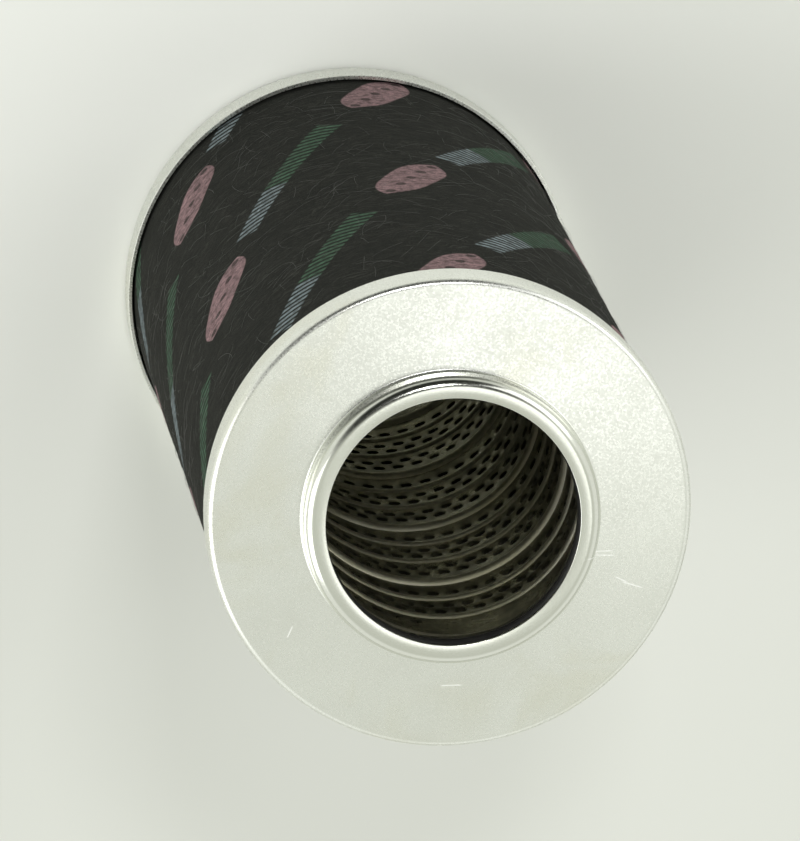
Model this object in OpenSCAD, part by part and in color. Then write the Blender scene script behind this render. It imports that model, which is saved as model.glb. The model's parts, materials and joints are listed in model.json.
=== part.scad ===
// Pleated filter element for a hydraulic pressure filter.
// It stands on its closed end: the axis is +Z, the closed end rests on Z = 0
// and the open end, with its collar and seal, is at the top.

/* [Overall] */
// Overall length, from the closed end to the lip of the collar
overall_length = 150; // [90:1:400]
// Outside diameter of both end caps
cap_diameter = 78.6; // [74:0.2:100]
// Thickness of the pressed sheet of the end caps
cap_sheet = 0.6; // [0.4:0.05:0.8]

/* [Open end] */
// Bore in the lip of the collar, which slides over the spigot of the filter head
bore_diameter = 41.3; // [36:0.1:42]
// Height of the collar above the flat face
collar_height = 4.5; // [4.3:0.1:8]
// Outside radius of the rolled shoulder of the collar
collar_shoulder = 1.7; // [1.1:0.1:2]
// Fillet where the collar rises from the face
collar_root = 0.4; // [0.2:0.05:0.6]
// Depth of the open cap's skirt below its face
open_skirt = 6.5; // [5:0.5:12]

/* [Seal] */
// Thickness of the seal ring's round section
seal_section = 3.0; // [2.6:0.05:3.2]
// How far the seal ring stands in past the bore
seal_reach = 0.2; // [0:0.05:0.25]
// Opening of the washer below the seal, measured past the bore
seat_relief = 0.2; // [0.15:0.05:0.6]
// Thickness of the washer below the seal
seat_sheet = 0.5; // [0.3:0.05:0.6]

/* [Closed end] */
// Depth of the closed cap's skirt
closed_skirt = 7; // [5:0.5:12]
// Depth of the round dish pressed into the closed cap
dish_depth = 1.8; // [1.6:0.1:3]
// Inside radius of the bends of the dish
dish_bend = 0.3; // [0.2:0.05:0.4]

/* [Cap edges] */
// Outside radius between the face of a cap and its skirt
cap_edge = 1.1; // [0.9:0.1:2]

/* [Core tube] */
// Outside diameter of the perforated core tube
core_diameter = 48.6; // [48.4:0.1:52]
// Wall of the core tube
core_wall = 0.7; // [0.5:0.05:0.9]
// Advance of the wound strip in one turn
strip_lead = 31.8; // [24:0.2:40]
// Height of the strip's seam above the tube's lower end, on the +X side
strip_start = 3.7; // [0:0.1:10]
// Room inside the tube for the rolled seam of the strip
seam_room = 0.6; // [0.3:0.05:0.8]
// Diameter of the perforations
hole_diameter = 3; // [2:0.1:4]
// Perforations in one turn of the strip
holes_per_turn = 20; // [10:1:24]
// Plain length left without perforations at each end
plain_end = 16; // [10:1:30]

/* [Pleated pack] */
// Number of pleats
pleats = 52; // [30:1:54]
// Mesh that carries the pack on its outer and inner side
mesh_sheet = 0.2; // [0.1:0.05:0.2]
// Thin fleece on both sides of the filter layers
fleece_sheet = 0.15; // [0.1:0.05:0.15]
// Coarse filter layer
prefilter_sheet = 0.25; // [0.1:0.05:0.25]
// Fine filter layer
filter_sheet = 0.3; // [0.2:0.05:0.3]
// Sheet of the clip on the seam of the pack
clip_sheet = 0.35; // [0.2:0.05:0.5]
// How far the clip reaches down the pleats
clip_reach = 5; // [3:0.5:8]

/* [Outer sleeve] */
// Thickness of the fleece sleeve
sleeve_sheet = 0.55; // [0.3:0.05:0.8]
// Width of the welded overlap of the sleeve
sleeve_lap = 9; // [5:0.5:14]
// Thickness that the overlap adds
lap_rise = 0.25; // [0.1:0.05:0.3]

/* [Adhesive] */
// Height of the adhesive bed in each cap
adhesive_height = 2.5; // [1.5:0.1:3.5]

/* [Clearances] */
// Gap between pieces that slide into each other
fit_gap = 0.05; // [0.02:0.01:0.1]
// Gap between the sleeve's overlap and the skirts
sleeve_gap = 0.2; // [0.1:0.05:0.4]

/* [Hidden] */
$fn = 96;

// Heights of the faces of the two caps
face_z = overall_length - collar_height;
face_under_z = face_z - cap_sheet;
cap_r = cap_diameter / 2;
skirt_in_r = cap_r - cap_sheet;
bore_r = bore_diameter / 2;

// Seal and collar: the collar closes round the seal ring
seal_in_r = bore_r - seal_reach;
collar_in_r = seal_in_r + seal_section;
collar_r = collar_in_r + cap_sheet;
seat_top_z = face_under_z - fit_gap;
seal_z = (overall_length - cap_sheet + seat_top_z) / 2;

// Core tube: it runs from the closed cap to the washer, which closes the collar from below
core_r = core_diameter / 2;
core_in_r = core_r - core_wall;
seam_r = core_in_r - seam_room;
core_bottom_z = cap_sheet;
core_top_z = seat_top_z - seat_sheet;
seat_r = max(collar_in_r, core_r);
strip_turns = (core_top_z - core_bottom_z) / strip_lead;

// Places of the rows of holes across the strip, as shares of its lead above the seam
row_places = [0.16, 0.455, 0.75];

// Adhesive and the pieces that stand in it
pack_bottom_z = cap_sheet + adhesive_height;
pack_top_z = face_under_z - adhesive_height;
pack_length = pack_top_z - pack_bottom_z;

// Sleeve
sleeve_r = skirt_in_r - sleeve_gap - lap_rise;
sleeve_in_r = sleeve_r - sleeve_sheet;

// Pleated pack: layers from the inside to the outside, and where each begins
pack_gap = 0.1;
pack_in_r = core_r + pack_gap;
pack_out_r = sleeve_in_r - pack_gap;
layer_sheets = [mesh_sheet, fleece_sheet, filter_sheet, prefilter_sheet, fleece_sheet, mesh_sheet];
pack_sheet = mesh_sheet * 2 + fleece_sheet * 2 + filter_sheet + prefilter_sheet;
function layer_start(i) = i == 0 ? -pack_sheet / 2 : layer_start(i - 1) + layer_sheets[i - 1];

// Fold radius at the middle of the pack's thickness
fold_r = pack_sheet / 2 + 0.06;
fold_parts = 3;
pleat_angle = 360 / pleats;
fold_in_r = pack_in_r + fold_r + pack_sheet / 2;
fold_out_r = pack_out_r - fold_r - pack_sheet / 2;
clip_out_r = pack_out_r - clip_sheet - pack_sheet / 2;

function polar(r, a) = [r * cos(a), r * sin(a)];
function heading(v) = atan2(v[1], v[0]);

// Direction of the normal of the leg that leaves the inner fold at angle a and crosses to the
// outer fold at angle b. The normal points to the outer side of the pack.
function leg_normal(a, b, out_r) =
    let (from = polar(fold_in_r, a), to = polar(out_r, b), span = to - from)
    heading(span) + (b > a ? -1 : 1) * acos(-2 * fold_r / norm(span));

// Fold points at distance d outside the middle of the pack. Inner folds turn about their centre on
// the side that faces the axis, outer folds on the side that faces out.
function inner_fold(k, d) =
    let (a = k * pleat_angle,
        last = k == pleats - 1,
        first = k == 0,
        before = leg_normal(a, a - pleat_angle / 2, first ? clip_out_r : fold_out_r) + 180,
        after = leg_normal(a, a + pleat_angle / 2, last ? clip_out_r : fold_out_r) + 180,
        turn = after - before,
        sweep = turn - 360 * ceil(turn / 360))
    [for (i = [0:fold_parts]) polar(fold_in_r, a) + polar(fold_r - d, before + sweep * i / fold_parts)];

function outer_fold(k, d) =
    let (a = (k + 0.5) * pleat_angle,
        before = leg_normal(a - pleat_angle / 2, a, fold_out_r),
        after = leg_normal(a + pleat_angle / 2, a, fold_out_r),
        turn = after - before,
        sweep = turn - 360 * floor(turn / 360))
    [for (i = [0:fold_parts]) polar(fold_out_r, a) + polar(fold_r + d, before + sweep * i / fold_parts)];

// The two ends of the pack meet at the seam, half a pleat before pleat 0
seam_angle = -pleat_angle / 2;
function end_point(side, d) =
    let (a = seam_angle, normal = leg_normal(a + side * pleat_angle / 2, a, clip_out_r))
    polar(clip_out_r, a) + polar(fold_r + d, normal);
function end_direction(side) =
    let (normal = leg_normal(seam_angle + side * pleat_angle / 2, seam_angle, clip_out_r))
    polar(1, normal - side * 90);

// One line along the whole pack, at distance d outside its middle
function pack_line(d) = concat(
    [end_point(1, d)],
    [for (k = [0:pleats - 1]) each concat(inner_fold(k, d), k < pleats - 1 ? outer_fold(k, d) : [])],
    [end_point(-1, d)]);

function reversed(list) = [for (i = [len(list) - 1:-1:0]) list[i]];

// Quarter of a sheet bend about a centre. The signs name the quarter it fills.
module bend(centre, inner, sx, sy, sheet) {
    outer = inner + sheet;
    translate(centre)
        intersection() {
            difference() {
                circle(outer);
                circle(inner);
            }
            translate([sx < 0 ? -outer : 0, sy < 0 ? -outer : 0])
                square(outer);
        }
}

// Rectangle of a profile between two radii and two heights
module strip(r0, z0, r1, z1) {
    translate([r0, z0])
        square([r1 - r0, z1 - z0]);
}

// Tube about the axis
module tube(outer, inner, z0, z1) {
    rotate_extrude()
        strip(inner, z0, outer, z1);
}

// Skirt of a cap with its rounded edge, the face being at height z and the skirt running down
module skirt_profile(z, depth) {
    strip(skirt_in_r, z - depth, cap_r, z - cap_edge);
    bend([cap_r - cap_edge, z - cap_edge], cap_edge - cap_sheet, 1, 1, cap_sheet);
}

// Open cap: skirt, flat face, collar wall, rolled shoulder and lip, all one pressed sheet
module open_end_cap() {
    root_r = collar_r + collar_root;
    shoulder_r = collar_r - collar_shoulder;
    color("gainsboro")
        rotate_extrude() {
            skirt_profile(face_z, open_skirt);
            strip(root_r, face_under_z, cap_r - cap_edge, face_z);
            bend([root_r, face_z + collar_root], collar_root, -1, -1, cap_sheet);
            strip(collar_in_r, face_z + collar_root, collar_r, overall_length - collar_shoulder);
            bend([shoulder_r, overall_length - collar_shoulder], collar_shoulder - cap_sheet, 1, 1, cap_sheet);
            strip(bore_r, overall_length - cap_sheet, shoulder_r, overall_length);
        }
}

// Closed cap: skirt, flat base and a round dish pressed inwards that centres the core tube
module closed_end_cap() {
    boss_r = seam_r - fit_gap;
    bend_out = dish_bend + cap_sheet;
    base_r = boss_r + dish_bend;
    dish_r = base_r - dish_bend - bend_out;
    dish_z = dish_depth - dish_bend;
    color("gainsboro")
        rotate_extrude() {
            mirror([0, 1])
                skirt_profile(0, closed_skirt);
            strip(base_r, 0, cap_r - cap_edge, cap_sheet);
            bend([base_r, bend_out], dish_bend, -1, -1, cap_sheet);
            strip(boss_r - cap_sheet, bend_out, boss_r, dish_z);
            bend([dish_r, dish_z], dish_bend, 1, 1, cap_sheet);
            strip(0, dish_depth, dish_r, dish_depth + cap_sheet);
        }
}

// Seal ring: a round section that the wall of the collar holds, between the lip and the washer
module seal_ring() {
    color("black")
        rotate_extrude()
            translate([seal_in_r + seal_section / 2, seal_z])
                circle(seal_section / 2);
}

// Seat of the seal: a flat washer, held between the core tube and the cap
module seal_seat() {
    color("silver")
        tube(seat_r, bore_r + seat_relief, core_top_z, seat_top_z);
}

// Rows of perforations along the strip
module perforations() {
    drill = core_wall * 4;
    low_z = core_bottom_z + plain_end;
    high_z = core_top_z - plain_end;
    for (share = row_places, i = [-holes_per_turn:ceil(strip_turns * holes_per_turn)])
        let (z = core_bottom_z + strip_start + strip_lead * (share + i / holes_per_turn))
            if (z > low_z && z < high_z)
                rotate([0, 0, i * 360 / holes_per_turn])
                    translate([core_in_r - drill / 2, 0, z])
                        rotate([0, 90, 0])
                            cylinder(d = hole_diameter, h = drill * 1.5, $fn = 24);
}

// Core tube: a perforated strip wound into a tube, with its rows of holes along the winding
module core_tube() {
    color("gray")
        difference() {
            tube(core_r, core_in_r, core_bottom_z, core_top_z);
            perforations();
        }
}

// One layer of the pleated pack
module pack_layer(i) {
    near = layer_start(i);
    translate([0, 0, pack_bottom_z])
        linear_extrude(pack_length)
            polygon(concat(pack_line(near), reversed(pack_line(near + layer_sheets[i]))));
}

module inner_support_mesh() {
    color("silver")
        pack_layer(0);
}

module inner_fleece() {
    color("white")
        pack_layer(1);
}

module fine_filter_layer() {
    color("lightyellow")
        pack_layer(2);
}

module prefilter_layer() {
    color("ivory")
        pack_layer(3);
}

module outer_fleece() {
    color("white")
        pack_layer(4);
}

module outer_support_mesh() {
    color("silver")
        pack_layer(5);
}

// Clip folded over the two ends of the pack, along its whole length
module pleat_seam_clip() {
    half = pack_sheet / 2;
    function skin(side, d, down) = end_point(side, d) - down * end_direction(side);
    color("darkgray")
        translate([0, 0, pack_bottom_z])
            linear_extrude(pack_length)
                difference() {
                    polygon([skin(1, half + clip_sheet, clip_reach), skin(1, half + clip_sheet, -clip_sheet),
                        skin(-1, half + clip_sheet, -clip_sheet), skin(-1, half + clip_sheet, clip_reach)]);
                    polygon([skin(1, half, clip_reach * 2), skin(1, half, 0),
                        skin(-1, half, 0), skin(-1, half, clip_reach * 2)]);
                }
}

// Adhesive beds that the tube, the pack and the sleeve stand in
module open_end_adhesive() {
    color("dimgray")
        tube(cap_r - cap_edge, seat_r + fit_gap, pack_top_z, face_under_z);
}

module closed_end_adhesive() {
    color("dimgray")
        tube(cap_r - cap_edge, core_r + fit_gap, cap_sheet, pack_bottom_z);
}

// Section of the sleeve: a ring with a thicker sector at its back, where its edges overlap
module sleeve_section() {
    half_lap = sleeve_lap / sleeve_r * 90 / PI;
    difference() {
        union() {
            circle(sleeve_r);
            intersection() {
                circle(sleeve_r + lap_rise);
                polygon([[0, 0], polar(cap_r, 90 - half_lap), polar(cap_r, 90 + half_lap)]);
            }
        }
        circle(sleeve_in_r);
    }
}

// Sleeve: a fleece tube with a welded overlap
module outer_sleeve() {
    color([0.16, 0.16, 0.15])
        translate([0, 0, pack_bottom_z])
            linear_extrude(pack_length)
                sleeve_section();
}

open_end_cap();
closed_end_cap();
seal_ring();
seal_seat();
core_tube();
inner_support_mesh();
inner_fleece();
fine_filter_layer();
prefilter_layer();
outer_fleece();
outer_support_mesh();
pleat_seam_clip();
open_end_adhesive();
closed_end_adhesive();
outer_sleeve();
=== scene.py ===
"""Looks of a pleated filter element for a hydraulic pressure filter.

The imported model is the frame. It stands on its closed end, with its axis along +Z, and every
piece made here takes its place and its reach from the frame's nodes. Lengths are in metres.
"""

from __future__ import annotations

import json
import logging
import math
import random
from dataclasses import dataclass, field
from enum import Enum

import bmesh
import bpy
from mathutils import Matrix, Vector, noise

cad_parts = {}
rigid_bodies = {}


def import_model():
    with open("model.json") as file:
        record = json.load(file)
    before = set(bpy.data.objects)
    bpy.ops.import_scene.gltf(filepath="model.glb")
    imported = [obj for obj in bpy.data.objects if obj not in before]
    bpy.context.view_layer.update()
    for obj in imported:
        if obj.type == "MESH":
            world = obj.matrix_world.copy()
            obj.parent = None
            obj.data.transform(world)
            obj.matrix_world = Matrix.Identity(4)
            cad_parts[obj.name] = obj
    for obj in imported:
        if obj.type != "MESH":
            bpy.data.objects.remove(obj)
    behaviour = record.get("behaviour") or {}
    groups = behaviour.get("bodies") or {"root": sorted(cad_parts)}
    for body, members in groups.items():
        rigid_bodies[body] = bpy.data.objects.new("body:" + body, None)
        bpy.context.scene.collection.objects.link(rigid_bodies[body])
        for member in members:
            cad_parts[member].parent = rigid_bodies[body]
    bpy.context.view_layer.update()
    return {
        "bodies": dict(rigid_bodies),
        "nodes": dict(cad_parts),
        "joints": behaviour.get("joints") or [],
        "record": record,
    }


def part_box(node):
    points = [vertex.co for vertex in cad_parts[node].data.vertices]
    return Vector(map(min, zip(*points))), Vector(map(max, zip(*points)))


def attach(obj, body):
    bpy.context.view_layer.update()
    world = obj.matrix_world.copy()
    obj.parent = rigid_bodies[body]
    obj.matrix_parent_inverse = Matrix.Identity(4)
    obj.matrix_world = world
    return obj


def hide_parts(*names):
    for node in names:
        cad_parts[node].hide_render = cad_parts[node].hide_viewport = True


LOG = logging.getLogger("filter_element")
MM = 0.001
BODY = "root"
Point = tuple[float, float]


class Slot(Enum):
    """Material slots of the record."""

    PLATED = "plated_steel"
    CORE = "core_steel"
    SEAL = "seal_rubber"
    MESH = "wire_mesh"
    PALE_FLEECE = "pale_fleece"
    MEDIA = "filter_media"
    RESIN = "adhesive"
    SLEEVE = "sleeve_fleece"


class Graph:
    """Builds a material's or the world's node tree, one node to a call."""

    def __init__(self, owner: bpy.types.Material | bpy.types.World) -> None:
        """Starts an empty tree.

        Args:
            owner: The material or world that the nodes belong to.
        """
        owner.use_nodes = True
        self.tree = owner.node_tree
        self.tree.nodes.clear()

    def add(self, kind: str, **settings: object) -> bpy.types.Node:
        """Adds a node.

        Args:
            kind: The node's type name.
            **settings: Properties to set on the node.

        Returns:
            The new node.
        """
        node = self.tree.nodes.new(kind)
        for key, value in settings.items():
            setattr(node, key, value)
        return node

    def feed(self, socket: bpy.types.NodeSocket, value: object) -> None:
        """Links a socket to another, or sets its value.

        Args:
            socket: The input to feed.
            value: An output socket, a number or a vector.
        """
        if isinstance(value, bpy.types.NodeSocket):
            self.tree.links.new(value, socket)
        elif value is not None:
            socket.default_value = value

    def math(self, operation: str, *values: object, clamp: bool = False) -> bpy.types.NodeSocket:
        """Adds a Math node.

        Args:
            operation: Its operation.
            *values: Numbers or outputs for its inputs, in order.
            clamp: Whether the result is held between 0 and 1.

        Returns:
            Its output.
        """
        node = self.add("ShaderNodeMath", operation=operation, use_clamp=clamp)
        for socket, value in zip(node.inputs, values):
            self.feed(socket, value)
        return node.outputs[0]

    def place(self, vector: object, scale: tuple[float, float, float] = (1, 1, 1), turn: float = 0.0,
              shift: tuple[float, float, float] = (0, 0, 0)) -> bpy.types.NodeSocket:
        """Scales, turns about Z and shifts a coordinate.

        Args:
            vector: The coordinate's output socket.
            scale: Scale along each axis.
            turn: Angle about Z, in radians.
            shift: Shift along each axis.

        Returns:
            The mapped coordinate.
        """
        node = self.add("ShaderNodeMapping")
        self.feed(node.inputs["Vector"], vector)
        node.inputs["Scale"].default_value = scale
        node.inputs["Rotation"].default_value = (0, 0, turn)
        node.inputs["Location"].default_value = shift
        return node.outputs[0]

    def noise(self, vector: object, scale: float, detail: float = 2.0, roughness: float = 0.5,
              distortion: float = 0.0) -> bpy.types.NodeSocket:
        """Adds a noise texture.

        Args:
            vector: Its coordinate.
            scale: Its scale.
            detail: Its octaves.
            roughness: How strong the finer octaves are.
            distortion: How far it is bent.

        Returns:
            The noise's value.
        """
        node = self.add("ShaderNodeTexNoise")
        self.feed(node.inputs["Vector"], vector)
        node.inputs["Scale"].default_value = scale
        node.inputs["Detail"].default_value = detail
        node.inputs["Roughness"].default_value = roughness
        node.inputs["Distortion"].default_value = distortion
        return node.outputs["Fac"]

    def ramp(self, value: object, low: float, high: float, to_low: float = 0.0,
             to_high: float = 1.0) -> bpy.types.NodeSocket:
        """Maps a value from one range to another, clamped and smooth.

        Args:
            value: The value.
            low: Where the range begins.
            high: Where it ends.
            to_low: The result at its beginning.
            to_high: The result at its end.

        Returns:
            The mapped value.
        """
        node = self.add("ShaderNodeMapRange", interpolation_type="SMOOTHSTEP")
        for socket, given in zip(node.inputs, (value, low, high, to_low, to_high)):
            self.feed(socket, given)
        return node.outputs[0]

    def mix(self, factor: object, first: object, second: object) -> bpy.types.NodeSocket:
        """Mixes two colours.

        Args:
            factor: How much of the second shows.
            first: A colour or its socket.
            second: A colour or its socket.

        Returns:
            The mixed colour.
        """
        node = self.add("ShaderNodeMix", data_type="RGBA")
        self.feed(node.inputs["Factor"], factor)
        self.feed(node.inputs[6], first)
        self.feed(node.inputs[7], second)
        return node.outputs[2]

    def bump(self, height: object, strength: float, distance: float,
             normal: object = None) -> bpy.types.NodeSocket:
        """Adds a bump.

        Args:
            height: The height's socket.
            strength: Its strength.
            distance: The height that a value of 1 stands for, in metres.
            normal: An earlier bump that it adds to.

        Returns:
            The bumped normal.
        """
        node = self.add("ShaderNodeBump")
        node.inputs["Strength"].default_value = strength
        node.inputs["Distance"].default_value = distance
        self.feed(node.inputs["Height"], height)
        self.feed(node.inputs["Normal"], normal)
        return node.outputs[0]

    def surface(self, **inputs: object) -> None:
        """Adds the Principled surface and the output.

        Args:
            **inputs: Values or sockets by input name, with spaces as underscores.
        """
        shader = self.add("ShaderNodeBsdfPrincipled")
        for key, value in inputs.items():
            self.feed(shader.inputs[key.replace("_", " ")], value)
        output = self.add("ShaderNodeOutputMaterial")
        self.feed(output.inputs["Surface"], shader.outputs[0])


@dataclass(frozen=True)
class Finish:
    """A surface finish that makes its own material."""

    name: str

    def material(self) -> bpy.types.Material:
        """Returns the finish's material, made the first time it is asked for."""
        found = bpy.data.materials.get(self.name)
        if found is None:
            found = bpy.data.materials.new(self.name)
            self.build(Graph(found))
        return found

    def build(self, graph: Graph) -> None:
        """Fills the material's node tree.

        Args:
            graph: The empty tree.
        """
        raise NotImplementedError


@dataclass(frozen=True)
class Scratch:
    """A straight mark on the face of a cap, in its plane."""

    x: float
    y: float
    turn: float
    length: float
    width: float = 0.16 * MM

    def mask(self, graph: Graph, coordinate: object) -> bpy.types.NodeSocket:
        """Returns a socket that is 1 on the mark and 0 off it.

        Args:
            graph: The material's tree.
            coordinate: The object's coordinate.
        """
        centred = graph.add("ShaderNodeVectorMath", operation="SUBTRACT")
        graph.feed(centred.inputs[0], coordinate)
        centred.inputs[1].default_value = (self.x, self.y, 0)
        turned = graph.place(centred.outputs[0], turn=-self.turn)
        parts = graph.add("ShaderNodeSeparateXYZ")
        graph.feed(parts.inputs[0], turned)
        along = graph.ramp(graph.math("ABSOLUTE", parts.outputs[0]), self.length * 0.3, self.length * 0.5, 1, 0)
        across = graph.ramp(graph.math("ABSOLUTE", parts.outputs[1]), 0, self.width, 1, 0)
        return graph.math("MULTIPLY", along, across)


@dataclass(frozen=True)
class PlatedSteel(Finish):
    """Bright tin plating on pressed sheet: fine speckle, faint stains and a few marks.

    Above the height smooth_above the sheet is rolled, and so it is smoother there.
    """

    name: str = "tin_plating"
    tint: tuple[float, float, float, float] = (0.80, 0.81, 0.765, 1)
    dull_tint: tuple[float, float, float, float] = (0.70, 0.71, 0.66, 1)
    rolled_tint: tuple[float, float, float, float] = (0.64, 0.65, 0.59, 1)
    roughness: float = 0.26
    smooth_above: float = 1.0
    marks: tuple[Scratch, ...] = ()

    def build(self, graph: Graph) -> None:
        """Fills the material's node tree.

        Args:
            graph: The empty tree.
        """
        coordinate = graph.add("ShaderNodeTexCoord").outputs["Object"]
        speckle = graph.noise(coordinate, 2600, 3, 0.6)
        cloud = graph.noise(coordinate, 90, 4, 0.55)
        pits = graph.ramp(graph.noise(coordinate, 1300, 2, 0.5), 0.62, 0.72)
        stain = graph.ramp(graph.noise(coordinate, 38, 3, 0.6, 0.8), 0.52, 0.70, 0.0, 0.5)
        dull = graph.math("MULTIPLY_ADD", speckle, 0.7, graph.math("MULTIPLY", cloud, 0.35))
        colour = graph.mix(graph.ramp(dull, 0.38, 0.75), self.tint, self.dull_tint)
        colour = graph.mix(stain, colour, (0.71, 0.705, 0.61, 1))
        colour = graph.mix(graph.math("MULTIPLY", pits, 0.2), colour, (0.92, 0.92, 0.88, 1))
        rough = graph.math("ADD", graph.ramp(speckle, 0.3, 0.7, self.roughness - 0.05, self.roughness + 0.07),
                           graph.math("MULTIPLY", cloud, 0.06))
        parts = graph.add("ShaderNodeSeparateXYZ")
        graph.feed(parts.inputs[0], coordinate)
        rolled = graph.ramp(parts.outputs[2], self.smooth_above, self.smooth_above + 0.25 * MM, 1.0, 0.55)
        rough = graph.math("MULTIPLY", rough, rolled)
        colour = graph.mix(graph.ramp(rolled, 0.55, 1.0, 0.8, 0.0), colour, self.rolled_tint)
        height = graph.math("ADD", speckle, graph.math("MULTIPLY", pits, 0.5))
        height = graph.math("MULTIPLY", height, rolled)
        if self.marks:
            masks = [mark.mask(graph, coordinate) for mark in self.marks]
            total = masks[0]
            for mask in masks[1:]:
                total = graph.math("MAXIMUM", total, mask)
            colour = graph.mix(graph.math("MULTIPLY", total, 0.95), colour, (1, 1, 0.98, 1))
            rough = graph.math("MULTIPLY_ADD", total, 0.25, rough)
            height = graph.math("SUBTRACT", height, total)
        graph.surface(Base_Color=colour, Metallic=1.0, Roughness=rough,
                      Normal=graph.bump(height, 0.35, 0.010 * MM))


@dataclass(frozen=True)
class StripSteel(Finish):
    """Dull oily strip of the core tube and the small rings beside it, with a painted highlight on the core tube's ridge
    crests.
    """

    name: str = "galvanised_strip"
    tint: tuple[float, float, float, float] = (0.57, 0.555, 0.435, 1)
    dark_tint: tuple[float, float, float, float] = (0.24, 0.235, 0.175, 1)
    # Pale colour of the painted highlight on the ridge crests.
    painted_highlight: tuple[float, float, float, float] = (0.92, 0.90, 0.79, 1)

    def build(self, graph: Graph) -> None:
        """Fills the material's node tree.

        Args:
            graph: The empty tree.
        """
        coordinate = graph.add("ShaderNodeTexCoord").outputs["Object"]
        cloud = graph.noise(coordinate, 160, 5, 0.6)
        grain = graph.noise(graph.place(coordinate, (1, 1, 6)), 700, 3, 0.5)
        colour = graph.mix(graph.ramp(cloud, 0.35, 0.7), self.tint, self.dark_tint)
        rough = graph.math("MULTIPLY_ADD", cloud, 0.22, graph.math("MULTIPLY_ADD", grain, 0.14, 0.12))
        # Painted highlight: the ridge crests are mixed towards a pale colour, standing in for the light that they
        # catch.
        crest = graph.ramp(graph.add("ShaderNodeAttribute", attribute_name="crest").outputs["Fac"], 0.2, 0.8)
        colour = graph.mix(crest, colour, self.painted_highlight)
        rough = graph.math("MULTIPLY_ADD", crest, 0.06, rough)
        graph.surface(Base_Color=colour, Metallic=1.0, Roughness=rough,
                      Normal=graph.bump(grain, 0.3, 0.02 * MM))


@dataclass(frozen=True)
class SealRubber(Finish):
    """Black oiled rubber of the seal ring."""

    name: str = "seal_rubber_black"

    def build(self, graph: Graph) -> None:
        """Fills the material's node tree.

        Args:
            graph: The empty tree.
        """
        coordinate = graph.add("ShaderNodeTexCoord").outputs["Object"]
        grain = graph.noise(coordinate, 900, 3, 0.6)
        colour = graph.mix(grain, (0.008, 0.008, 0.008, 1), (0.02, 0.02, 0.019, 1))
        graph.surface(Base_Color=colour, Roughness=graph.ramp(grain, 0.3, 0.7, 0.32, 0.46),
                      Specular_IOR_Level=0.45, Normal=graph.bump(grain, 0.15, 0.02 * MM))


@dataclass(frozen=True)
class WovenWire(Finish):
    """Fine woven wire of the support meshes, as bump and colour along the pack."""

    name: str = "woven_wire"
    pitch: float = 0.5 * MM

    def build(self, graph: Graph) -> None:
        """Fills the material's node tree.

        Args:
            graph: The empty tree.
        """
        coordinate = graph.add("ShaderNodeTexCoord").outputs["Object"]
        parts = graph.add("ShaderNodeSeparateXYZ")
        graph.feed(parts.inputs[0], coordinate)
        radius = graph.math("SQRT", graph.math("ADD", graph.math("POWER", parts.outputs[0], 2.0),
                                               graph.math("POWER", parts.outputs[1], 2.0)))
        turns = 2 * math.pi / self.pitch
        warp = graph.math("SINE", graph.math("MULTIPLY", radius, turns))
        weft = graph.math("SINE", graph.math("MULTIPLY", parts.outputs[2], turns))
        wires = graph.math("MAXIMUM", warp, weft)
        colour = graph.mix(graph.ramp(wires, -0.2, 0.6), (0.10, 0.10, 0.09, 1), (0.62, 0.63, 0.60, 1))
        graph.surface(Base_Color=colour, Metallic=0.9, Roughness=0.35,
                      Normal=graph.bump(wires, 0.8, 0.1 * MM))


@dataclass(frozen=True)
class SoftLayer(Finish):
    """Pale fleece or filter media of the pleated pack, with matted fibres."""

    name: str = "pale_fleece_layer"
    tint: tuple[float, float, float, float] = (0.74, 0.73, 0.68, 1)

    def build(self, graph: Graph) -> None:
        """Fills the material's node tree.

        Args:
            graph: The empty tree.
        """
        coordinate = graph.add("ShaderNodeTexCoord").outputs["Object"]
        fibres = graph.noise(graph.place(coordinate, (1, 1, 5)), 900, 4, 0.65, 1.5)
        shade = tuple(0.7 * part for part in self.tint[:3]) + (1,)
        colour = graph.mix(fibres, shade, self.tint)
        graph.surface(Base_Color=colour, Roughness=0.9, Sheen_Weight=0.2,
                      Normal=graph.bump(fibres, 0.5, 0.08 * MM))


@dataclass(frozen=True)
class CastResin(Finish):
    """Grey potting adhesive, slightly glossy with small bubbles."""

    name: str = "potting_resin"

    def build(self, graph: Graph) -> None:
        """Fills the material's node tree.

        Args:
            graph: The empty tree.
        """
        coordinate = graph.add("ShaderNodeTexCoord").outputs["Object"]
        cloud = graph.noise(coordinate, 220, 4, 0.5)
        bubbles = graph.add("ShaderNodeTexVoronoi")
        graph.feed(bubbles.inputs["Vector"], coordinate)
        bubbles.inputs["Scale"].default_value = 800
        dents = graph.ramp(bubbles.outputs["Distance"], 0.0, 0.2)
        colour = graph.mix(cloud, (0.10, 0.10, 0.095, 1), (0.17, 0.17, 0.16, 1))
        graph.surface(Base_Color=colour, Roughness=graph.ramp(cloud, 0.3, 0.7, 0.35, 0.5),
                      Normal=graph.bump(dents, 0.4, 0.1 * MM))


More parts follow.
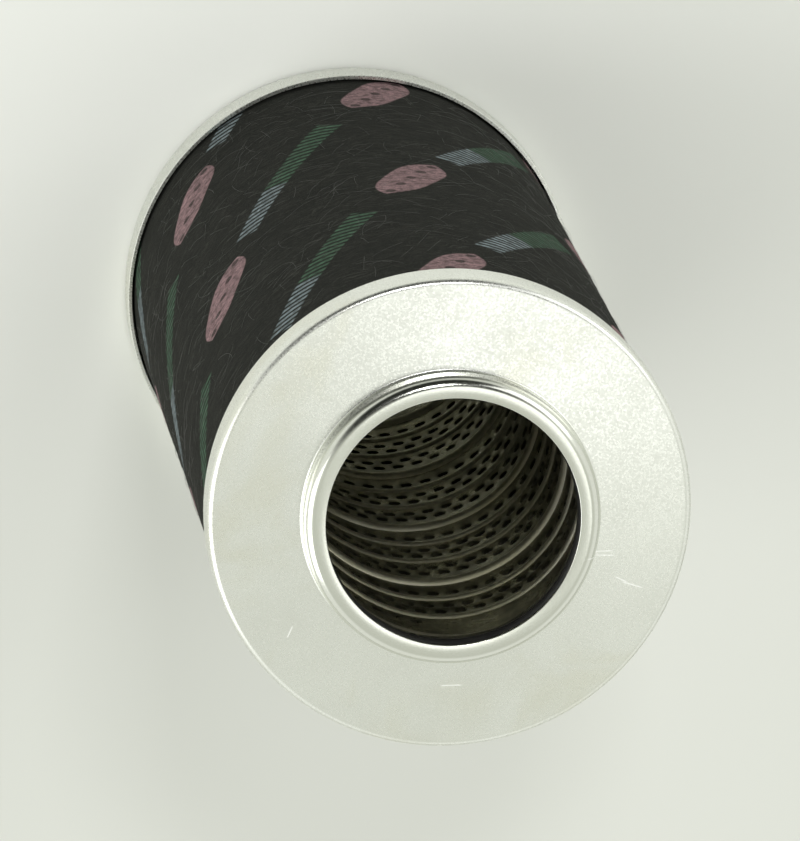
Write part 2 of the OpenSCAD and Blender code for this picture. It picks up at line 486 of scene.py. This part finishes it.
@dataclass(frozen=True)
class PrintedFleece(Finish):
    """Dark matted fleece of the sleeve with a faded, sparse print of plain motifs.

    The coordinate is the sleeve's own UV map: U runs once round and V along the length.
    """

    name: str = "printed_fleece"
    round_mm: float = 240.0
    length_mm: float = 139.0
    slant: float = math.radians(-62)
    repeat_along: float = 84.0
    repeat_across: float = 27.0

    def fibres(self, graph: Graph, sheet: object) -> bpy.types.NodeSocket:
        """Returns thin curved streaks in many directions, from 0 to 1.

        Args:
            graph: The material's tree.
            sheet: The flat coordinate of the fleece, in millimetres.
        """
        bend = graph.add("ShaderNodeTexNoise")
        graph.feed(bend.inputs["Vector"], sheet)
        bend.inputs["Scale"].default_value = 0.22
        bend.inputs["Detail"].default_value = 1
        shift = graph.add("ShaderNodeVectorMath", operation="SCALE")
        graph.feed(shift.inputs[0], bend.outputs["Color"])
        shift.inputs["Scale"].default_value = 5.0
        bent = graph.add("ShaderNodeVectorMath", operation="ADD")
        graph.feed(bent.inputs[0], sheet)
        graph.feed(bent.inputs[1], shift.outputs[0])
        total: object = 0.0
        for turn in (12, 38, 66, 95, 121, 150, 171):
            across = 3.3 + 0.6 * math.sin(turn)
            lines = graph.noise(graph.place(bent.outputs[0], (0.13, across, 1), math.radians(turn), (turn, 0, 0)),
                                1.0, 1.5, 0.5)
            streaks = graph.ramp(lines, 0.62, 0.72)
            total = graph.math("MAXIMUM", total, streaks)
        return total

    def prints(self, graph: Graph, sheet: object) -> tuple[object, object, object]:
        """Returns masks of the pink patches and of the green and pale blue bars of hatching.

        Args:
            graph: The material's tree.
            sheet: The flat coordinate of the fleece, in millimetres.
        """
        parts = graph.add("ShaderNodeSeparateXYZ")
        graph.feed(parts.inputs[0], graph.place(sheet, turn=self.slant))
        half_along = self.repeat_along / 2
        half_across = self.repeat_across / 2
        row = graph.math("FLOOR", graph.math("DIVIDE", parts.outputs[1], self.repeat_across))
        across = graph.math("WRAP", parts.outputs[1], self.repeat_across, 0.0)
        across = graph.math("SUBTRACT", across, half_across)
        slid = graph.math("MULTIPLY_ADD", row, self.repeat_along * 0.37, parts.outputs[0])
        along = graph.math("WRAP", slid, half_along, -half_along)
        chain_length = 44.0
        chain_at = -16.0
        pitch = 1.9
        chain_x = graph.math("SUBTRACT", along, chain_at)
        stroke = graph.math("WRAP", graph.math("MULTIPLY_ADD", across, 0.3, chain_x), pitch / 2, -pitch / 2)
        chain = graph.ramp(graph.math("ABSOLUTE", stroke), 0.42, 0.62, 1, 0)
        chain = graph.math("MULTIPLY", chain, graph.ramp(graph.math("ABSOLUTE", across), 2.2, 2.6, 1, 0))
        inside = graph.ramp(graph.math("ABSOLUTE", chain_x), chain_length / 2, chain_length / 2 + 0.3, 1, 0)
        chain = graph.math("MULTIPLY", chain, inside)
        blue_part = graph.ramp(chain_x, 5.0, 5.6)
        leaf_x = graph.math("SUBTRACT", along, 24.0)
        bow = graph.math("POWER", graph.math("DIVIDE", graph.math("ABSOLUTE", leaf_x), 11.5), 4.0)
        leaf = graph.math("MULTIPLY_ADD", bow, 4.4, graph.math("ABSOLUTE", across))
        pink = graph.ramp(leaf, 4.1, 4.5, 1, 0)
        dot_x = graph.math("WRAP", leaf_x, 2.4, -2.4)
        dot = graph.math("SQRT", graph.math("ADD", graph.math("POWER", dot_x, 2.0),
                                            graph.math("POWER", across, 2.0)))
        pink = graph.math("MULTIPLY", pink, graph.ramp(dot, 0.7, 1.05, 0.25, 1.0))
        green = graph.math("MULTIPLY", chain, graph.math("SUBTRACT", 1.0, blue_part))
        blue = graph.math("MULTIPLY", chain, blue_part)
        return pink, green, blue

    def build(self, graph: Graph) -> None:
        """Fills the material's node tree.

        Args:
            graph: The empty tree.
        """
        uv = graph.add("ShaderNodeTexCoord").outputs["UV"]
        sheet = graph.place(uv, (self.round_mm, self.length_mm, 1))
        fibres = self.fibres(graph, sheet)
        cloud = graph.noise(sheet, 0.09, 3, 0.55)
        grain = graph.ramp(graph.noise(sheet, 3.8, 3, 0.7), 0.40, 0.66)
        tone = graph.math("ADD", graph.math("MULTIPLY", fibres, 0.55), graph.math("MULTIPLY", grain, 0.45))
        colour = graph.mix(tone, (0.003, 0.003, 0.0025, 1), (0.050, 0.050, 0.043, 1))
        colour = graph.mix(graph.ramp(cloud, 0.4, 0.7, 0.0, 0.3), colour, (0.006, 0.006, 0.005, 1))
        patchy = graph.ramp(graph.noise(sheet, 0.8, 2, 0.6), 0.34, 0.60, 0.5, 1.0)
        worn = graph.math("MULTIPLY", patchy, graph.ramp(tone, 0.0, 0.6, 0.5, 1.0))
        inks = ((0.40, 0.255, 0.27, 1), (0.085, 0.175, 0.11, 1), (0.33, 0.40, 0.43, 1))
        for mask, ink in zip(self.prints(graph, sheet), inks):
            colour = graph.mix(graph.math("MULTIPLY", mask, worn), colour, ink)
        graph.surface(Base_Color=colour, Roughness=0.9, Sheen_Weight=0.035, Sheen_Roughness=0.5,
                      Sheen_Tint=(0.75, 0.80, 0.72, 1), Specular_IOR_Level=0.05,
                      Normal=graph.bump(tone, 0.7, 0.12 * MM))


@dataclass(frozen=True)
class LooseFibre(Finish):
    """Grey stray fibres that stand off the sleeve."""

    name: str = "stray_fibre"

    def build(self, graph: Graph) -> None:
        """Fills the material's node tree.

        Args:
            graph: The empty tree.
        """
        coordinate = graph.add("ShaderNodeTexCoord").outputs["Object"]
        tone = graph.noise(coordinate, 300, 2, 0.5)
        colour = graph.mix(tone, (0.03, 0.03, 0.027, 1), (0.16, 0.16, 0.145, 1))
        graph.surface(Base_Color=colour, Roughness=0.7, Sheen_Weight=0.2)


def arc(centre: Point, radius: float, start: float, end: float, parts: int) -> list[Point]:
    """Points along an arc of a profile.

    Args:
        centre: Its centre, as radius and height.
        radius: Its radius.
        start: Angle of its first point, in degrees.
        end: Angle of its last point, in degrees.
        parts: Into how many parts it is divided.

    Returns:
        The points, ends included.
    """
    steps = [math.radians(start + (end - start) * i / parts) for i in range(parts + 1)]
    return [(centre[0] + radius * math.cos(a), centre[1] + radius * math.sin(a)) for a in steps]


def spun(profile: list[Point], steps: int, closed: bool = True) -> bmesh.types.BMesh:
    """Spins a profile about Z.

    Args:
        profile: Its points, as radius and height.
        steps: Divisions of the full turn.
        closed: Whether the last point joins the first. An open profile ends on the axis.

    Returns:
        The spun mesh, with its normals outwards.
    """
    mesh = bmesh.new()
    verts = [mesh.verts.new((r, 0, z)) for r, z in profile]
    pairs = list(zip(verts, verts[1:]))
    if closed:
        pairs.append((verts[-1], verts[0]))
    edges = [mesh.edges.new(pair) for pair in pairs]
    bmesh.ops.spin(mesh, geom=verts + edges, cent=(0, 0, 0), axis=(0, 0, 1), angle=2 * math.pi, steps=steps,
                   use_merge=True)
    bmesh.ops.remove_doubles(mesh, verts=mesh.verts, dist=0.001 * MM)
    bmesh.ops.recalc_face_normals(mesh, faces=mesh.faces)
    return mesh


def to_object(mesh: bmesh.types.BMesh, name: str, finish: Finish, sharp: float = 35.0) -> bpy.types.Object:
    """Turns a bmesh into a shown piece that rides on the body.

    Args:
        mesh: The finished bmesh, which is freed.
        name: The piece's name.
        finish: Its finish.
        sharp: Edges that turn by more than this many degrees stay sharp.

    Returns:
        The object.
    """
    data = bpy.data.meshes.new(name)
    mesh.to_mesh(data)
    mesh.free()
    data.shade_smooth()
    data.set_sharp_from_angle(angle=math.radians(sharp))
    data.materials.append(finish.material())
    piece = bpy.data.objects.new(name, data)
    bpy.context.scene.collection.objects.link(piece)
    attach(piece, BODY)
    LOG.info("made %s with %d faces", name, len(data.polygons))
    return piece


@dataclass
class OpenEnd:
    """Pressed open cap with its collar, and the seal ring under the collar's lip."""

    sheet: float = 0.6 * MM
    edge: float = 1.1 * MM
    shoulder: float = 1.7 * MM
    root: float = 0.4 * MM
    collar: float = 24.05 * MM
    face_drop: float = 4.5 * MM
    bore: float = 20.65 * MM
    steps: int = 256
    marks: tuple[Scratch, ...] = ()

    def profile(self) -> list[Point]:
        """Returns the closed section of the cap: outside first, from the skirt to the lip, then back inside."""
        low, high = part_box("open_end_cap")
        rim, skirt, top = high.x, low.z, high.z
        face = top - self.face_drop
        under = face - self.sheet
        inner_edge = self.edge - self.sheet
        inner_shoulder = self.shoulder - self.sheet
        edge_at = (rim - self.edge, face - self.edge)
        root_at = (self.collar + self.root, face + self.root)
        shoulder_at = (self.collar - self.shoulder, top - self.shoulder)
        lip = self.sheet * 0.2
        outside = [(rim - 0.1 * MM, skirt), (rim, skirt + 0.1 * MM)]
        outside += arc(edge_at, self.edge, 0, 90, 8)
        outside += arc(root_at, self.root, 270, 180, 6)
        outside += arc(shoulder_at, self.shoulder, 0, 90, 10)
        outside += arc((self.bore + lip, top - lip), lip, 90, 180, 4)
        inside = [(self.bore, top - self.sheet)]
        inside += arc(shoulder_at, inner_shoulder, 90, 0, 8)
        inside += arc(root_at, self.root + self.sheet, 180, 270, 6)
        inside += [(root_at[0], under)] + arc(edge_at, inner_edge, 90, 0, 6)
        inside += [(rim - self.sheet, skirt)]
        return outside + inside

    def build(self) -> None:
        """Makes the cap and the seal ring."""
        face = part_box("open_end_cap")[1].z - self.face_drop
        finish = PlatedSteel(name="tin_plating_open", smooth_above=face + 0.02 * MM, marks=self.marks)
        cap = to_object(spun(self.profile(), self.steps), "open_cap", finish)
        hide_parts("open_end_cap")
        low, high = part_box("seal_ring")
        section = (high.z - low.z) / 2
        centre = (high.x - section, (low.z + high.z) / 2)
        ring = to_object(spun(arc(centre, section, 0, 360 - 360 / 24, 23), self.steps), "collar_seal", SealRubber())
        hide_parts("seal_ring")


@dataclass
class ClosedEnd:
    """Pressed closed cap with its round dish."""

    sheet: float = 0.6 * MM
    edge: float = 1.1 * MM
    boss: float = 22.95 * MM
    dish: float = 1.8 * MM
    bend: float = 0.3 * MM
    steps: int = 256

    def build(self) -> None:
        """Makes the cap from its inner centre, round the skirt, to its outer centre."""
        _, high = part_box("closed_end_cap")
        rim, top = high.x, high.z
        edge_at = (rim - self.edge, self.edge)
        foot_at = (self.boss + self.bend, self.sheet + self.bend)
        crest_at = (self.boss - self.sheet - self.bend, self.dish - self.bend)
        wide = self.bend + self.sheet
        inside = [(0, self.dish + self.sheet)] + arc(crest_at, wide, 90, 0, 6)
        inside += arc(foot_at, self.bend, 180, 270, 5)
        inside += arc(edge_at, self.edge - self.sheet, 270, 360, 6) + [(rim - self.sheet, top)]
        outside = [(rim - 0.1 * MM, top), (rim, top - 0.1 * MM)] + arc(edge_at, self.edge, 360, 270, 8)
        outside += arc(foot_at, wide, 270, 180, 6) + arc(crest_at, self.bend, 0, 90, 5) + [(0, self.dish)]
        cap = to_object(spun(inside + outside, self.steps, closed=False), "closed_cap",
                        PlatedSteel(name="tin_plating_closed"))
        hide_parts("closed_end_cap")


@dataclass(frozen=True)
class Ridge:
    """A rounded ridge along the strip."""

    centre: float
    half: float
    rise: float

    def height(self, v: float) -> float:
        """Returns its height at place v across the strip."""
        away = abs(v - self.centre) / self.half
        return self.rise * math.sqrt(1 - away * away) if away < 1 else 0.0

    def places(self, parts: int = 8) -> list[float]:
        """Returns the places across the strip where its section is divided."""
        return [self.centre - self.half * math.cos(math.pi * i / parts) for i in range(parts + 1)]


@dataclass
class CoreTube:
    """Perforated strip wound into a tube: a lock seam and two beads along the same helix."""

    lead: float = 31.8 * MM
    wall: float = 0.7 * MM
    cells: int = 45
    hole: float = 1.2 * MM
    dimple: float = 0.14 * MM
    row_height: float = 3.3 * MM
    seam_height: float = 109.4 * MM
    seam_azimuth: float = math.radians(108.3)
    plain_end: float = 16 * MM
    rows: tuple[float, ...] = (5.5 * MM, 12.3 * MM, 15.7 * MM, 22.5 * MM, 25.8 * MM)
    seam: Ridge = Ridge(0.0, 0.9 * MM, 0.85 * MM)
    beads: tuple[Ridge, ...] = (Ridge(9.1 * MM, 0.55 * MM, 0.45 * MM), Ridge(19.2 * MM, 0.55 * MM, 0.45 * MM))
    room: float = 0.6 * MM

    def ridges(self) -> list[Ridge]:
        """Returns the strip's ridges in order: its seam, its beads and the seam of the next turn."""
        return [self.seam, *self.beads, Ridge(self.lead, self.seam.half, self.seam.rise)]

    def relief(self, v: float) -> float:
        """Returns how far the strip stands into the tube at place v across it."""
        return sum(ridge.height(v) for ridge in self.ridges())

    def bands(self) -> list[tuple[float, float, bool]]:
        """Returns the bands across the strip: where each begins and ends, and if it has a row of holes."""
        cuts = [0.0, self.lead]
        for ridge in self.ridges():
            cuts += [v for v in ridge.places() if 0 < v < self.lead]
        holes = [(row - self.row_height / 2, row + self.row_height / 2) for row in self.rows]
        for hole in holes:
            cuts += hole
        cuts.sort()
        kept = [cuts[0]]
        for cut in cuts[1:]:
            if cut - kept[-1] > 0.02 * MM:
                kept.append(cut)
        return [(start, end, any(low < (start + end) / 2 < high for low, high in holes))
                for start, end in zip(kept, kept[1:])]

    def column(self, pitch: float) -> bmesh.types.BMesh:
        """Makes one pitch of the flat strip, with its holes.

        Args:
            pitch: Distance between two holes along the strip.

        Returns:
            The flat mesh, U along X and V along Y.
        """
        mesh = bmesh.new()
        rows = 0
        for start, end, perforated in self.bands():
            middle = (start + end) / 2
            if not perforated:
                for side in (0.25, 0.75):
                    self.plain_cell(mesh, side * pitch, middle, pitch / 2, end - start)
                continue
            stagger = 0.5 if rows % 2 else 0.0
            self.hole_cell(mesh, (0.5 + stagger) * pitch, middle, pitch, end - start)
            rows += 1
        return mesh

    def plain_cell(self, mesh: bmesh.types.BMesh, x: float, y: float, width: float, height: float) -> None:
        """Adds a plain rectangle to the flat strip.

        Args:
            mesh: The flat strip.
            x: Its centre along the strip.
            y: Its centre across the strip.
            width: Its width.
            height: Its height.
        """
        place = Matrix.Translation((x, y, 0)) @ Matrix.Diagonal((width, height, 1, 1))
        bmesh.ops.create_grid(mesh, x_segments=1, y_segments=1, size=0.5, matrix=place)

    def hole_cell(self, mesh: bmesh.types.BMesh, x: float, y: float, width: float, height: float) -> None:
        """Adds a rectangle with a round hole to the flat strip.

        Args:
            mesh: The flat strip.
            x: Its centre along the strip.
            y: Its centre across the strip.
            width: Its width.
            height: Its height.
        """
        place = Matrix.Translation((x, y, 0))
        rim = bmesh.ops.create_circle(mesh, segments=8, radius=self.hole, matrix=place)["verts"]
        frame = bmesh.ops.create_circle(mesh, segments=8, radius=1, matrix=place)["verts"]
        for vert in frame:
            away = vert.co - Vector((x, y, 0))
            turn = round(math.degrees(math.atan2(away.y, away.x)) / 45) * 45
            reach = (round(math.cos(math.radians(turn)) * 0.8), round(math.sin(math.radians(turn)) * 0.8))
            vert.co = (x + reach[0] * width / 2, y + reach[1] * height / 2, 0)
        edges = [edge for edge in {e for v in rim + frame for e in v.link_edges}]
        bmesh.ops.bridge_loops(mesh, edges=edges)
        bmesh.ops.translate(mesh, verts=rim, vec=(0, 0, self.dimple))

    def build(self) -> None:
        """Makes the wound tube, trims its ends and gives it its wall."""
        low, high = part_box("core_tube")
        inner = high.x - self.wall
        around = 2 * math.pi * inner
        pitch = around / self.cells
        turns = math.ceil((high.z - low.z) / self.lead) + 2
        column = self.column(pitch)
        data = bpy.data.meshes.new("strip_column")
        column.to_mesh(data)
        column.free()
        mesh = bmesh.new()
        for i in range(self.cells * turns):
            mesh.from_mesh(data)
            fresh = mesh.verts[-len(data.vertices):]
            for vert in fresh:
                vert.co.x += i * pitch
        bpy.data.meshes.remove(data)
        below = math.ceil((self.seam_height - low.z) / self.lead) + 1
        start = self.seam_height - below * self.lead
        # Height of the ridges, as a share of a bead's rise, which the strip's finish turns into a painted highlight on
        # their crests.
        crest = mesh.verts.layers.float.new("crest")
        for vert in mesh.verts:
            turn = vert.co.x / around
            angle = self.seam_azimuth + 2 * math.pi * turn
            rise = self.relief(vert.co.y)
            vert[crest] = rise / self.beads[0].rise
            height = start + vert.co.y + self.lead * turn
            if height < low.z + 3 * MM:
                rise = min(rise, self.room)
            if low.z + self.plain_end < height < high.z - self.plain_end:
                rise -= vert.co.z
            radius = inner - rise
            vert.co = (radius * math.cos(angle), radius * math.sin(angle), height)
        bmesh.ops.remove_doubles(mesh, verts=mesh.verts, dist=0.01 * MM)
        plain = [edge for edge in mesh.edges if edge.is_boundary and not
                 low.z + self.plain_end < edge.verts[0].co.z < high.z - self.plain_end]
        bmesh.ops.holes_fill(mesh, edges=plain, sides=8)
        for height, sign in ((low.z, -1), (high.z, 1)):
            bmesh.ops.bisect_plane(mesh, geom=list(mesh.verts) + list(mesh.edges) + list(mesh.faces), dist=1e-6,
                                   plane_co=(0, 0, height), plane_no=(0, 0, sign), clear_outer=True)
        bmesh.ops.recalc_face_normals(mesh, faces=mesh.faces)
        bmesh.ops.solidify(mesh, geom=list(mesh.faces), thickness=self.wall * 0.8)
        tube = to_object(mesh, "wound_core", StripSteel(), 50)
        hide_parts("core_tube")


@dataclass
class Sleeve:
    """Fleece sleeve with a welded overlap at its back and stray fibres on it."""

    lap_turn: float = math.radians(90)
    lap_width: float = 9.0 * MM
    lap_rise: float = 0.25 * MM
    sheet: float = 0.55 * MM
    steps: int = 360
    rows: int = 70
    hairs: int = 1300
    hair_radius: float = 0.013 * MM

    def build(self) -> None:
        """Makes the sleeve and its stray fibres."""
        low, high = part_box("outer_sleeve")
        radius = high.x
        self.tube(low.z, high.z, radius)
        self.strays(low.z, high.z, radius)

    def tube(self, bottom: float, top: float, radius: float) -> None:
        """Makes the sleeve with its UV map.

        Args:
            bottom: Its lower end.
            top: Its upper end.
            radius: Its outer radius.
        """
        mesh = bmesh.new()
        half_lap = self.lap_width / radius / 2
        heights = [bottom + (top - bottom) * i / self.rows for i in range(self.rows + 1)]
        outside = [mesh.verts.new((radius, 0, z)) for z in heights]
        inside = [mesh.verts.new((radius - self.sheet, 0, z)) for z in (heights[-1], heights[0])]
        line = outside + inside
        edges = [mesh.edges.new(pair) for pair in zip(line, line[1:] + line[:1])]
        bmesh.ops.spin(mesh, geom=line + edges, cent=(0, 0, 0), axis=(0, 0, 1), angle=2 * math.pi, steps=self.steps,
                       use_merge=True)
        bmesh.ops.recalc_face_normals(mesh, faces=mesh.faces)
        uv = mesh.loops.layers.uv.new("sheet")
        for face in mesh.faces:
            centre = self.share_round(face.calc_center_median())
            for loop in face.loops:
                share = self.share_round(loop.vert.co)
                if abs(share - centre) > 0.5:
                    share += 1 if centre > share else -1
                loop[uv].uv = (share, (loop.vert.co.z - bottom) / (top - bottom))
        for vert in mesh.verts:
            reach = math.hypot(vert.co.x, vert.co.y)
            if reach < radius - self.sheet / 2:
                continue
            ripple = noise.noise(vert.co * 60) * 0.08 * MM + noise.noise(vert.co * 260) * 0.03 * MM - 0.06 * MM
            away = abs(math.remainder(math.atan2(vert.co.y, vert.co.x) - self.lap_turn, 2 * math.pi))
            if away < half_lap:
                ripple += self.lap_rise * min(1.0, (half_lap - away) * radius / (0.7 * MM))
            ease = min(1.0, (vert.co.z - bottom) / (4 * MM), (top - vert.co.z) / (4 * MM))
            scale = (reach + ripple * ease) / reach
            vert.co.x *= scale
            vert.co.y *= scale
        sleeve = to_object(mesh, "fleece_sleeve", PrintedFleece(round_mm=2 * math.pi * radius / MM,
                                                                length_mm=(top - bottom) / MM))
        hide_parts("outer_sleeve")

    def share_round(self, place: Vector) -> float:
        """Returns how far round from the overlap a point lies, from 0 to 1."""
        return ((math.atan2(place.y, place.x) - self.lap_turn) / (2 * math.pi)) % 1.0

    def strays(self, bottom: float, top: float, radius: float) -> None:
        """Makes the stray fibres as thin bent tubes.

        Args:
            bottom: Lower end of the sleeve.
            top: Upper end of the sleeve.
            radius: Outer radius of the sleeve.
        """
        rng = random.Random(7)
        curve = bpy.data.curves.new("sleeve_fibres", "CURVE")
        curve.dimensions = "3D"
        curve.bevel_depth = self.hair_radius
        curve.bevel_resolution = 0
        margin = 9 * MM
        for _ in range(self.hairs):
            angle = rng.uniform(0, 2 * math.pi)
            z = rng.uniform(bottom + margin, top - margin)
            heading = rng.uniform(0, 2 * math.pi)
            length = rng.uniform(2.0, 9.0) * MM
            bend = rng.uniform(-0.35, 0.35) / MM * 0.3
            lift = rng.choice((0.05, 0.12, 0.5)) * rng.uniform(0.4, 1.0) * MM
            points = []
            parts = 8
            for i in range(parts + 1):
                share = i / parts
                points.append((angle, z, lift * math.sin(math.pi * share) ** 1.5))
                heading += bend * length / parts
                angle += math.cos(heading) * length / parts / radius
                z += math.sin(heading) * length / parts
            spline = curve.splines.new("POLY")
            spline.points.add(len(points) - 1)
            for point, (a, height, out) in zip(spline.points, points):
                reach = radius + out - 0.01 * MM
                point.co = (reach * math.cos(a), reach * math.sin(a), height, 1)
        holder = bpy.data.objects.new("sleeve_fibres_curve", curve)
        bpy.context.scene.collection.objects.link(holder)
        bpy.context.view_layer.update()
        data = bpy.data.meshes.new_from_object(holder.evaluated_get(bpy.context.evaluated_depsgraph_get()))
        bpy.data.objects.remove(holder)
        mesh = bmesh.new()
        mesh.from_mesh(data)
        bpy.data.meshes.remove(data)
        to_object(mesh, "sleeve_fibres", LooseFibre(), 180)


@dataclass
class HiddenPieces:
    """Finishes of the pieces that stay inside the element and keep their solid."""

    finishes: dict[str, Finish] = field(default_factory=lambda: {
        "seal_seat": StripSteel(),
        "inner_support_mesh": WovenWire(),
        "outer_support_mesh": WovenWire(),
        "pleat_seam_clip": StripSteel(),
        "inner_fleece": SoftLayer(),
        "outer_fleece": SoftLayer(),
        "fine_filter_layer": SoftLayer(name="fine_media", tint=(0.80, 0.77, 0.64, 1)),
        "prefilter_layer": SoftLayer(name="coarse_media", tint=(0.82, 0.80, 0.72, 1)),
        "open_end_adhesive": CastResin(),
        "closed_end_adhesive": CastResin(),
    })

    def dress(self, nodes: dict[str, bpy.types.Object]) -> None:
        """Gives each hidden piece its finish.

        Args:
            nodes: The frame's objects by name.
        """
        for name, finish in self.finishes.items():
            piece = nodes[name]
            piece.data.materials.clear()
            piece.data.materials.append(finish.material())
            LOG.info("dressed %s", name)


@dataclass
class Studio:
    """Pale floor, soft light and the camera at the photograph's angle."""

    # Floor colours: near is the painted shade towards +Y, far the painted light towards -Y.
    near: tuple[float, float, float, float] = (0.70, 0.71, 0.665, 1)
    far: tuple[float, float, float, float] = (0.88, 0.89, 0.85, 1)
    pale: tuple[float, float, float, float] = (1.0, 1.02, 0.96, 1)
    calm: tuple[float, float, float, float] = (0.75, 0.77, 0.70, 1)
    dim: tuple[float, float, float, float] = (0.02, 0.022, 0.018, 1)
    floor_size: float = 6.0
    lens: float = 384.355
    eye: tuple[float, float, float] = (0.139291, -0.421825, 1.520762)
    forward: tuple[float, float, float] = (-0.092051, 0.281396, -0.955166)
    up: tuple[float, float, float] = (-0.113875, -0.955921, -0.270644)

    def build(self) -> None:
        """Makes the floor, the world, the lamps and the camera."""
        self.floor()
        self.world()
        self.lamps()
        self.camera()
        view = bpy.context.scene.view_settings
        view.view_transform = "Standard"

    def floor(self) -> None:
        """Makes the floor that the element stands on, with painted light and shade across it."""
        mesh = bmesh.new()
        bmesh.ops.create_grid(mesh, x_segments=1, y_segments=1, size=self.floor_size / 2)
        bmesh.ops.translate(mesh, verts=mesh.verts, vec=(0, 0, -0.05 * MM))
        data = bpy.data.meshes.new("floor")
        mesh.to_mesh(data)
        mesh.free()
        material = bpy.data.materials.new("pale_table")
        graph = Graph(material)
        parts = graph.add("ShaderNodeSeparateXYZ")
        graph.feed(parts.inputs[0], graph.add("ShaderNodeTexCoord").outputs["Object"])
        # Painted light and shade: the floor is paler towards -Y and darker towards +Y, which shifts the brightness
        # across it.
        colour = graph.mix(graph.ramp(parts.outputs[1], -0.12, 0.10), self.far, self.near)
        graph.surface(Base_Color=colour, Roughness=0.45, Specular_IOR_Level=0.3)
        data.materials.append(material)
        floor = bpy.data.objects.new("floor", data)
        bpy.context.scene.collection.objects.link(floor)

    def lobe(self, graph: Graph, direction: object, centre: Vector, inner: float, outer: float) -> bpy.types.NodeSocket:
        """Returns 1 near a direction of the surround, falling to 0 round it.

        Args:
            graph: The world's tree.
            direction: The direction that is looked at.
            centre: The middle of the lobe.
            inner: Angle within which it is full, in degrees.
            outer: Angle at which it ends, in degrees.
        """
        dot = graph.add("ShaderNodeVectorMath", operation="DOT_PRODUCT")
        graph.feed(dot.inputs[0], direction)
        dot.inputs[1].default_value = centre.normalized()
        return graph.ramp(dot.outputs["Value"], math.cos(math.radians(outer)), math.cos(math.radians(inner)))

    def world(self) -> None:
        """Makes the surround: pale all round, dim where the photographer stands and overhead in the picture."""
        world = bpy.data.worlds.new("surround")
        bpy.context.scene.world = world
        graph = Graph(world)
        direction = graph.add("ShaderNodeTexCoord").outputs["Generated"]
        dim = self.lobe(graph, direction, Vector((0.0, -0.69, 0.72)), 32, 52)
        above = self.lobe(graph, direction, Vector((-0.1, 0.30, 0.95)), 20, 45)
        colour = graph.mix(above, self.pale, self.calm)
        colour = graph.mix(dim, colour, self.dim)
        background = graph.add("ShaderNodeBackground")
        graph.feed(background.inputs["Color"], colour)
        output = graph.add("ShaderNodeOutputWorld")
        graph.feed(output.inputs["Surface"], background.outputs[0])

    def lamp(self, name: str, place: Vector, target: Vector, size: float, radiance: float) -> None:
        """Adds a soft square lamp.

        Args:
            name: The lamp's name.
            place: Where it stands.
            target: The point that it faces.
            size: Its side.
            radiance: How bright it looks, where 1 is white.
        """
        light = bpy.data.lights.new(name, "AREA")
        light.size = size
        light.energy = radiance * math.pi * size * size
        lamp = bpy.data.objects.new(name, light)
        bpy.context.scene.collection.objects.link(lamp)
        lamp.location = place
        lamp.rotation_euler = (place - target).to_track_quat("Z", "Y").to_euler()
        lamp.visible_camera = False

    def lamps(self) -> None:
        """Makes a large lamp on each side, a small one that shines into the bore and one over the cap's face."""
        middle = Vector((0, 0, 0.1))
        self.lamp("right", Vector((-1.2, -0.75, 1.15)), middle, 1.1, 1.7)
        self.lamp("left", Vector((1.3, 0.3, 1.0)), middle, 1.2, 2.4)
        self.lamp("bore", Vector((-0.06, -0.65, 1.38)), middle, 0.22, 28.0)
        self.lamp("face", Vector((-0.12, 0.06, 0.72)), Vector((0, -0.03, 0.15)), 0.2, 1.1)

    def camera(self) -> None:
        """Makes the camera at the photograph's angle and framing."""
        data = bpy.data.cameras.new("camera")
        data.lens = self.lens
        data.sensor_width = 36
        data.clip_end = 20
        camera = bpy.data.objects.new("camera", data)
        bpy.context.scene.collection.objects.link(camera)
        back = -Vector(self.forward)
        up = Vector(self.up)
        side = up.cross(back).normalized()
        up = back.cross(side)
        turn = Matrix((side, up, back)).transposed().to_4x4()
        camera.matrix_world = Matrix.Translation(self.eye) @ turn
        bpy.context.scene.camera = camera


def face_marks() -> tuple[Scratch, ...]:
    """Returns the small marks on the face of the open cap."""
    return (
        Scratch(27.5 * MM, 16.5 * MM, math.radians(60), 2.5 * MM),
        Scratch(-23.5 * MM, 9.0 * MM, math.radians(-5), 5.5 * MM),
        Scratch(-24.5 * MM, 9.8 * MM, math.radians(-8), 3.5 * MM),
        Scratch(-28.5 * MM, 15.3 * MM, math.radians(157), 4 * MM),
        Scratch(-26.8 * MM, 14.2 * MM, math.radians(148), 2.5 * MM),
        Scratch(2.2 * MM, 28.7 * MM, math.radians(175), 4 * MM),
    )


def main() -> None:
    """Builds the element's pieces in order, then the studio."""
    logging.basicConfig(level=logging.INFO, format="%(message)s")
    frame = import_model()
    Studio().build()
    OpenEnd(marks=face_marks()).build()
    ClosedEnd().build()
    CoreTube().build()
    Sleeve().build()
    HiddenPieces().dress(frame["nodes"])


if __name__ == "__main__":
    main()
